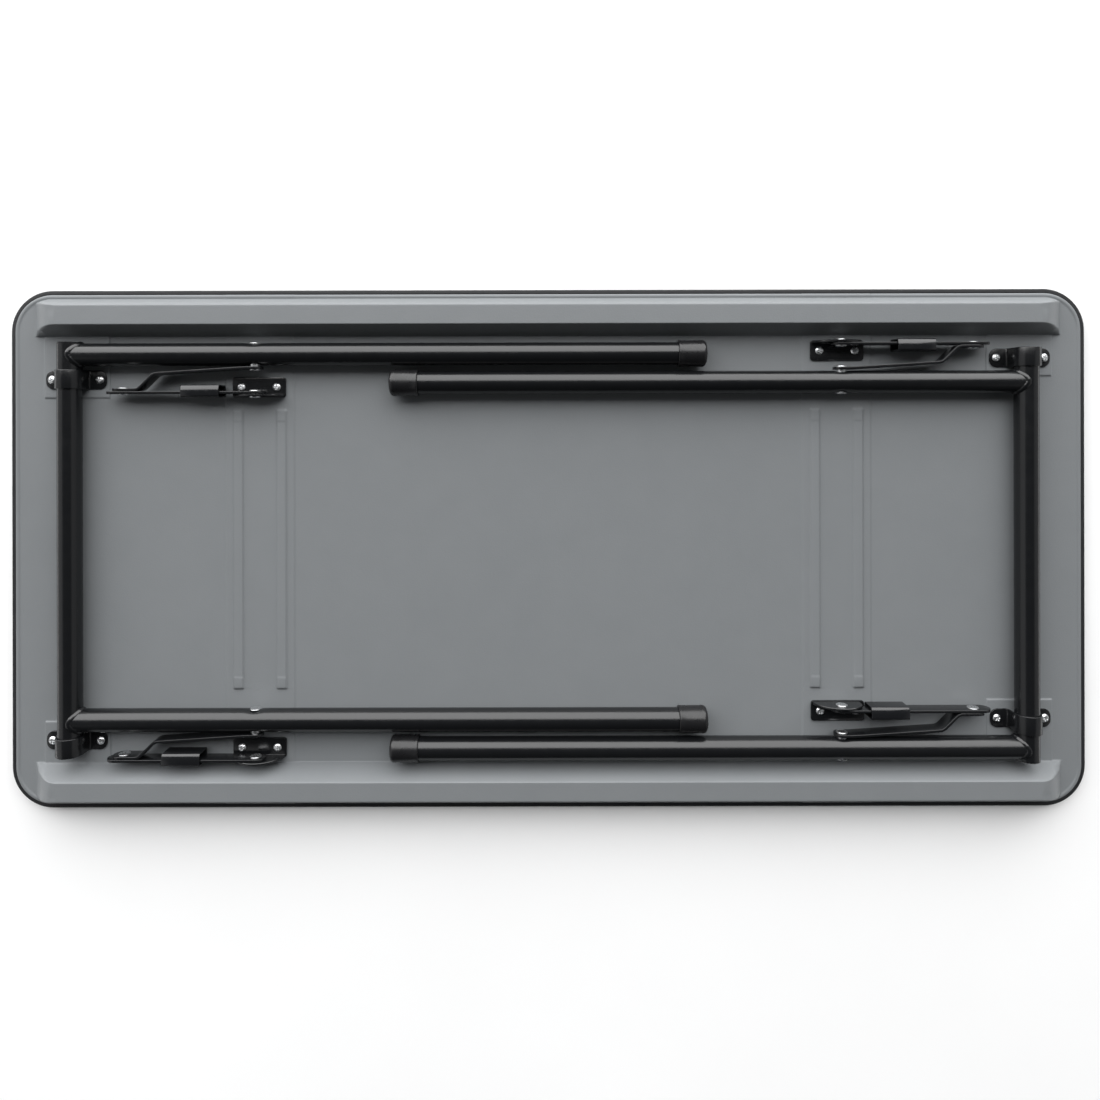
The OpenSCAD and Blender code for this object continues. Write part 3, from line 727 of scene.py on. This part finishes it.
def foot_cap(corner):
    """A moulded cap: a rolled lip, a straight wall, a shallow groove and a round end, as one profile turned
    about the leg."""
    side = corner.split("_")[0]
    low, high, mid = box(f"foot_cap_{corner}")
    length, outer, inner = high[0] - low[0], (high[1] - low[1]) / 2, TUBE_R + 0.1 * MM
    edge, groove, roll = 0.6 * MM, 0.35 * MM, 4.5 * MM
    wall = [(inner, length - 3 * MM), (inner, 0.4 * MM), (inner + 0.4 * MM, 0)]
    wall += [(outer - edge, 0), (outer, edge)]
    wall += [(outer, 2.2 * MM), (outer - groove, 2.9 * MM), (outer - groove, length - roll - 2.2 * MM)]
    wall += [(outer, length - roll - 1.5 * MM)]
    wall += [(outer - roll + roll * math.cos(a), length - roll + roll * math.sin(a))
             for a in np.radians(np.linspace(0, 90, 9))]
    profile = np.array([(0, length - 3 * MM)] + wall + [(outer - roll - 1 * MM, length), (0, length)])
    axis = "+x" if side == "left" else "-x"
    start = low[0] if side == "left" else high[0]
    make_piece(f"foot_cap_moulded_{corner}", placed(lathe(profile, 72), (start, mid[1], mid[2]), axis), CAP,
               f"leg_frame_{side}", [f"foot_cap_{corner}"])


def dome_profile(radius, height, foot=0.3):
    """A rivet's head: a short straight rim, then a quarter ellipse to the axis."""
    angle = np.radians(np.linspace(0, 90, 9))
    return [(radius * math.cos(a), height * (foot + (1 - foot) * math.sin(a))) for a in angle]


def pin(z_low, z_high, shank, head, low_head, high_head):
    """A pin along Z with a domed head at each end, as one profile turned about its axis."""
    top = [(r, z_high + h) for r, h in dome_profile(head, high_head)]
    bottom = [(r, z_low - h) for r, h in dome_profile(head, low_head)][::-1]
    profile = [*bottom, (head, z_low), (shank, z_low), (shank, z_high), (head, z_high), *top]
    return lathe(np.array(profile), 40)


def leg_bolts(side):
    """The bolts through the legs: a domed head in the outer flat, a spacer, and a head over the lower
    stay."""
    shapes = []
    spacer = np.array([(0, -13.6), (5.4, -13.6), (5.4, -11), (0, -11)]) * MM
    for corner in corners_of(side):
        leg_y = box(f"leg_tube_{corner}")[2][1] * TURN[side]
        shape = pin(-16.8 * MM, TUBE_R - 0.6 * MM, 3 * MM, 6 * MM, 2.1 * MM, 1.6 * MM)
        shapes.append(placed(shape, (-BRACKET_X, leg_y, HINGE_Z), "+y"))
        shapes.append(placed(lathe(spacer, 32), (-BRACKET_X, leg_y, HINGE_Z), "+y"))
    make_piece(f"leg_bolts_domed_{side}", turned(joined(shapes), side), ZINC, f"leg_frame_{side}",
               [f"leg_bolts_{side}"])


# Folding braces


RIVET_R = 6.3 * MM


def bracket(corner):
    """An L bracket: a flat plate with round corners, and an ear bent up out of it. The ear's section is a
    line round the bend, and its top follows a circle: z = pivot + rise - bow + sqrt(bow^2 - x^2), with
    rounded ends."""
    side = corner.split("_")[0]
    low, high, _ = box(f"bracket_{corner}")
    thick, bend = PLATE_T, 2 * MM
    size_y = high[1] - low[1]
    z = BAND_TOP + thick / 2
    s = end_dense(size_y, 3 * MM, [8 * MM, 14 * MM], 10)
    path = np.stack([np.zeros(len(s)), -s, np.full(len(s), z)], axis=1)
    plate = bar(path, (1, 0, 0), round_end_widths(s, size_y, high[0] - low[0], 3 * MM), thick, 0.45 * MM)
    ear = size_y - 0.7 * MM - thick / 2
    bow, rise, round_off = 31 * MM, 11.3 * MM, 2.5 * MM
    run = 52.5 * MM
    d = end_dense(run, round_off, np.linspace(4, 48.5, 34) * MM, 10)
    x = d - 24 * MM
    near = np.clip(np.minimum(d, run - d), 0, round_off)
    top = HINGE_Z + rise - bow + np.sqrt(bow ** 2 - x ** 2)
    top -= round_off - np.sqrt(np.maximum(round_off ** 2 - (round_off - near) ** 2, 0))
    turn = np.radians(np.linspace(270, 360, 8))
    line_y = np.concatenate([[ear - bend - 4 * MM], ear - bend + bend * np.cos(turn), np.full(5, ear)])
    rings = []
    for at, crest in zip(x, top):
        up = np.linspace(z + bend, crest - 0.5 * MM, 6)[1:]
        line_z = np.concatenate([[z], z + bend + bend * np.sin(turn), up])
        line = np.stack([np.full(len(line_y), at), -line_y, line_z - 0.06 * MM], axis=1)
        side_way = np.vstack([[[0, 0, 1]], np.stack([0 * turn, np.cos(turn), -np.sin(turn)], axis=1)])
        side_way = np.vstack([side_way, np.tile([0, 1.0, 0], (5, 1))])
        inside, outside = line + side_way * thick / 2, line - side_way * thick / 2
        cap = [[at, -ear + 0.8 * MM, crest - 0.08 * MM], [at, -ear - 0.8 * MM, crest - 0.08 * MM]]
        rings.append(np.vstack([inside, cap, outside[::-1]]))
    shape = joined([plate, loft(np.array(rings))])
    start_y = (high[1] if side == "left" else -low[1])
    shape = (shape[0] + np.array([-BRACKET_X, start_y, 0]), shape[1])
    make_piece(f"bracket_bent_{corner}", turned(shape, side), COAT, "root",
               [f"bracket_{corner}"])


def bracket_rivets(side):
    """The rivets on which the upper stays turn."""
    shapes = []
    for corner in corners_of(side):
        low, high, _ = box(f"upper_stay_{corner}")
        inner = (high[1] if side == "left" else -low[1]) + 0.1 * MM
        outer = (low[1] if side == "left" else -high[1]) - 2.9 * MM
        shape = pin(outer, inner, 4 * MM, RIVET_R, 1.9 * MM, 1.9 * MM)
        shapes.append(placed(shape, (-BRACKET_X, 0, HINGE_Z), "+y"))
    make_piece(f"bracket_rivets_domed_{side}", turned(joined(shapes), side), ZINC, "root",
               [f"bracket_rivets_{side}"])


STAY_LOW, STAY_HIGH, _ = box("upper_stay_left_rear")
STAY_R = (STAY_HIGH[2] - STAY_LOW[2]) / 2
STAY_T = 3 * MM


def upper_stay(corner):
    """A straight flat bar on edge with round ends, which reach a little past its two pivots."""
    side = corner.split("_")[0]
    low, high, mid = box(f"upper_stay_{corner}")
    length = high[0] - low[0]
    end = high[0] if side == "left" else -low[0]
    s = end_dense(length, STAY_R, np.linspace(20 * MM, length - 20 * MM, 8))
    path = np.stack([end - s, np.full(len(s), mid[1] * TURN[side]), np.full(len(s), HINGE_Z)], axis=1)
    shape = bar(path, (0, 0, 1), round_end_widths(s, length, 2 * STAY_R, STAY_R), STAY_T, 0.5 * MM)
    make_piece(f"upper_stay_flat_{corner}", turned(shape, side), COAT, f"upper_brace_{corner}",
               [f"upper_stay_{corner}"])


def smooth_line(points, radius, count=6):
    """A polyline with its inner corners rounded by quadratic curves that start and end radius from each
    corner: (1-t)^2 a + 2t(1-t) b + t^2 c."""
    out = [points[:1]]
    for before, at, after in zip(points[:-2], points[1:-1], points[2:]):
        a = at + (before - at) / np.linalg.norm(before - at) * radius
        c = at + (after - at) / np.linalg.norm(after - at) * radius
        t = np.linspace(0, 1, count)[:, None]
        out.append((1 - t) ** 2 * a + 2 * t * (1 - t) * at + t ** 2 * c)
    out.append(points[-1:])
    return np.vstack(out)


def lower_stay(corner):
    """A flat bar on edge that lies beside the upper stay at the knee, then steps over by a joggle at 45
    degrees and runs on beside the leg to its bolt."""
    side = corner.split("_")[0]
    low, high, _ = box(f"lower_stay_{corner}")
    leg_y = box(f"leg_tube_{corner}")[2][1] * TURN[side]
    knee_y = (low[1] if side == "left" else -high[1]) + STAY_T / 2
    bolt_y = leg_y - 15.2 * MM
    jog_y = bolt_y - 6.3 * MM
    knee_x = box(f"knee_rivet_tail_{corner}")[2][0] * TURN[side]
    run = 19 * MM
    points = np.array([
        [knee_x - STAY_R - 3 * MM, knee_y], [knee_x + run, knee_y], [knee_x + run + (jog_y - knee_y), jog_y],
        [-BRACKET_X - 10 * MM, bolt_y], [-BRACKET_X + STAY_R, bolt_y]
    ])
    line = smooth_line(points, 4 * MM)
    length = np.concatenate([[0], np.cumsum(np.linalg.norm(np.diff(line, axis=0), axis=1))])
    s = end_dense(length[-1], STAY_R, np.linspace(11 * MM, length[-1] - 11 * MM, 70))
    x, y = np.interp(s, length, line[:, 0]), np.interp(s, length, line[:, 1])
    path = np.stack([x, y, np.full(len(s), HINGE_Z)], axis=1)
    widths = round_end_widths(s, length[-1], 2 * STAY_R, STAY_R)
    shape = bar(path, (0, 0, 1), widths, STAY_T, 0.5 * MM)
    make_piece(f"lower_stay_joggled_{corner}", turned(shape, side), COAT, f"lower_brace_{corner}",
               [f"lower_stay_{corner}"])


def knee_rivets(corner):
    """The two halves of the knee rivet: a low dome on the outer side of each stay, on a short shank."""
    side = corner.split("_")[0]
    for part, direction, body in (("head", "-y", "upper_brace"), ("tail", "+y", "lower_brace")):
        low, high, mid = box(f"knee_rivet_{part}_{corner}")
        left_low, left_high = (low[1], high[1]) if side == "left" else (-high[1], -low[1])
        length = left_high - left_low
        shank, clear = 3.5 * MM, 0.02 * MM
        profile = [(0, clear), (shank, clear), (shank, STAY_T), (RIVET_R, STAY_T)]
        profile += [(r, STAY_T + h) for r, h in dome_profile(RIVET_R, length - STAY_T)]
        start = left_high if part == "head" else left_low
        shape = placed(lathe(np.array(profile), 40), (mid[0] * TURN[side], start, mid[2]), direction)
        make_piece(f"knee_rivet_{part}_domed_{corner}", turned(shape, side), ZINC, f"{body}_{corner}",
                   [f"knee_rivet_{part}_{corner}"])


def lock_ring(corner):
    """A sleeve folded from strip: the section of the wall, with rounded edges, carried round a rectangle of
    quarter ellipses, whose upper corner towards +Y is the widest."""
    low, high, mid = box(f"lock_ring_{corner}")
    half_y, half_z, wall = (high[1] - low[1]) / 2, (high[2] - low[2]) / 2, 1.5 * MM
    quarters = [(1, 1, 8, 3.4), (-1, 1, 2.6, 2.6), (-1, -1, 2.6, 2.6), (1, -1, 2.6, 2.6)]
    loops = []
    for inset in (wall, 0):
        loop = []
        for n, (way_y, way_z, reach_y, reach_z) in enumerate(quarters):
            turn = np.radians(np.linspace(90 * n, 90 * n + 90, 12))
            across, up = reach_y * MM - inset, reach_z * MM - inset
            y = way_y * (half_y - reach_y * MM) + across * np.cos(turn)
            loop.append(np.stack([y, way_z * (half_z - reach_z * MM) + up * np.sin(turn)], axis=1))
        loops.append(np.vstack(loop))
    section = rounded_loop(high[0] - low[0], wall, 0.45 * MM, 4)
    depth = (section[:, 1] / wall + 0.5)[None, :, None]
    rings = loops[0][:, None] * (1 - depth) + loops[1][:, None] * depth
    x = np.broadcast_to(section[:, 0], rings.shape[:2])
    points = np.stack([x, rings[..., 0], rings[..., 1]], axis=-1) + mid
    make_piece(f"lock_ring_folded_{corner}", loft(points, close=True), RING, f"ring_{corner}",
               [f"lock_ring_{corner}"])


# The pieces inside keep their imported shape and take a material


def paint_inside():
    """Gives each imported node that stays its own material."""
    for name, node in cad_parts.items():
        kind = None
        if name == "core_panel" or name.startswith(("hinge_block", "cross_board")):
            kind = BOARD
        if name.startswith("rail_tube"):
            kind = STEEL
        if kind:
            node.data.materials.clear()
            node.data.materials.append(kind)


# Stage


KEY_Y = 3.0


def stage():
    """A pale floor under the table, which ends just before the softbox beyond the rear edge."""
    left, right, front, rear = -2.6, 2.6, -1.9, KEY_Y - 0.02
    mesh = bpy.data.meshes.new("studio_floor")
    corners = [(left, front, 0), (right, front, 0), (right, rear, 0), (left, rear, 0)]
    mesh.from_pydata(corners, [], [(0, 1, 2, 3)])
    material = new_material("studio_floor_paint", (0.86, 0.86, 0.86), 0.9, specular=0.1)
    add_variation(material, (0.85,) * 3, (0.87,) * 3, 1.5, "Base Color")
    add_bump(material, [("noise", 60, 0.1 * MM, 0.1)])
    mesh.materials.append(material)
    floor = bpy.data.objects.new("studio_floor", mesh)
    bpy.context.scene.collection.objects.link(floor)


def softbox(name, place, aim, width, height, power):
    """A rectangular light that faces a point, unseen by the camera."""
    light = bpy.data.lights.new(name, "AREA")
    light.shape = "RECTANGLE"
    light.size, light.size_y, light.energy = width, height, power
    lamp = bpy.data.objects.new(name, light)
    bpy.context.scene.collection.objects.link(lamp)
    direction = np.array(aim, float) - np.array(place, float)
    lamp.location = place
    lamp.rotation_euler = Vector(direction).to_track_quat("-Z", "Y").to_euler()
    lamp.visible_camera = False


def lights():
    """A tall upright softbox beyond the rear edge, a weak one past each end, and a faint even surround."""
    softbox("key_softbox", (-1.6, KEY_Y, 3.95), (-1.6, 0, 3.95), 12.0, 7.9, 1290)
    softbox("left_softbox", (-6.0, -1.5, 3.6), (0, -1.5, 3.6), 9.0, 7.0, 95)
    softbox("right_softbox", (6.0, -1.5, 3.6), (0, -1.5, 3.6), 9.0, 7.0, 60)
    world = bpy.data.worlds.new("studio_air")
    bpy.context.scene.world = world
    world.use_nodes = True
    tree = world.node_tree
    tree.nodes.clear()
    output = tree.nodes.new("ShaderNodeOutputWorld")
    mix = tree.nodes.new("ShaderNodeMixShader")
    path = tree.nodes.new("ShaderNodeLightPath")
    seen = tree.nodes.new("ShaderNodeBackground")
    around = tree.nodes.new("ShaderNodeBackground")
    seen.inputs["Color"].default_value = (1, 1, 1, 1)
    around.inputs["Color"].default_value = (0.9, 0.95, 1, 1)
    around.inputs["Strength"].default_value = 0.03
    tree.links.new(path.outputs["Is Camera Ray"], mix.inputs["Fac"])
    tree.links.new(around.outputs["Background"], mix.inputs[1])
    tree.links.new(seen.outputs["Background"], mix.inputs[2])
    tree.links.new(mix.outputs["Shader"], output.inputs["Surface"])


def camera():
    """A camera straight over the table, level with its rear part, the table low in its view."""
    data = bpy.data.cameras.new("camera")
    data.sensor_width = 36.0
    data.lens = 25.94
    data.shift_x = 0.00173
    data.shift_y = -0.12464
    data.clip_start = 0.01
    data.clip_end = 100
    eye = bpy.data.objects.new("camera", data)
    bpy.context.scene.collection.objects.link(eye)
    eye.location = (0.0, 0.154, FLOOR_Z + 0.9)
    eye.rotation_euler = (0, 0, math.radians(-0.12))
    bpy.context.scene.camera = eye
    bpy.context.scene.view_settings.view_transform = "Standard"


camera()
lights()
stage()
underside_skin()
top_skin()
for side_name in SIDES:
    screws(side_name, "strap", corners_of(side_name), PAD_TOP + STRAP_T, 27 * MM)
    screws(side_name, "bracket", corners_of(side_name), BAND_TOP + PLATE_T, 20 * MM)
    bracket_rivets(side_name)
    cross_tube(side_name)
    tube_plugs(side_name)
    leg_bolts(side_name)
for corner_name in CORNERS:
    strap(corner_name)
    bracket(corner_name)
    leg_tube(corner_name)
    foot_cap(corner_name)
    upper_stay(corner_name)
    lower_stay(corner_name)
    knee_rivets(corner_name)
    lock_ring(corner_name)
paint_inside()
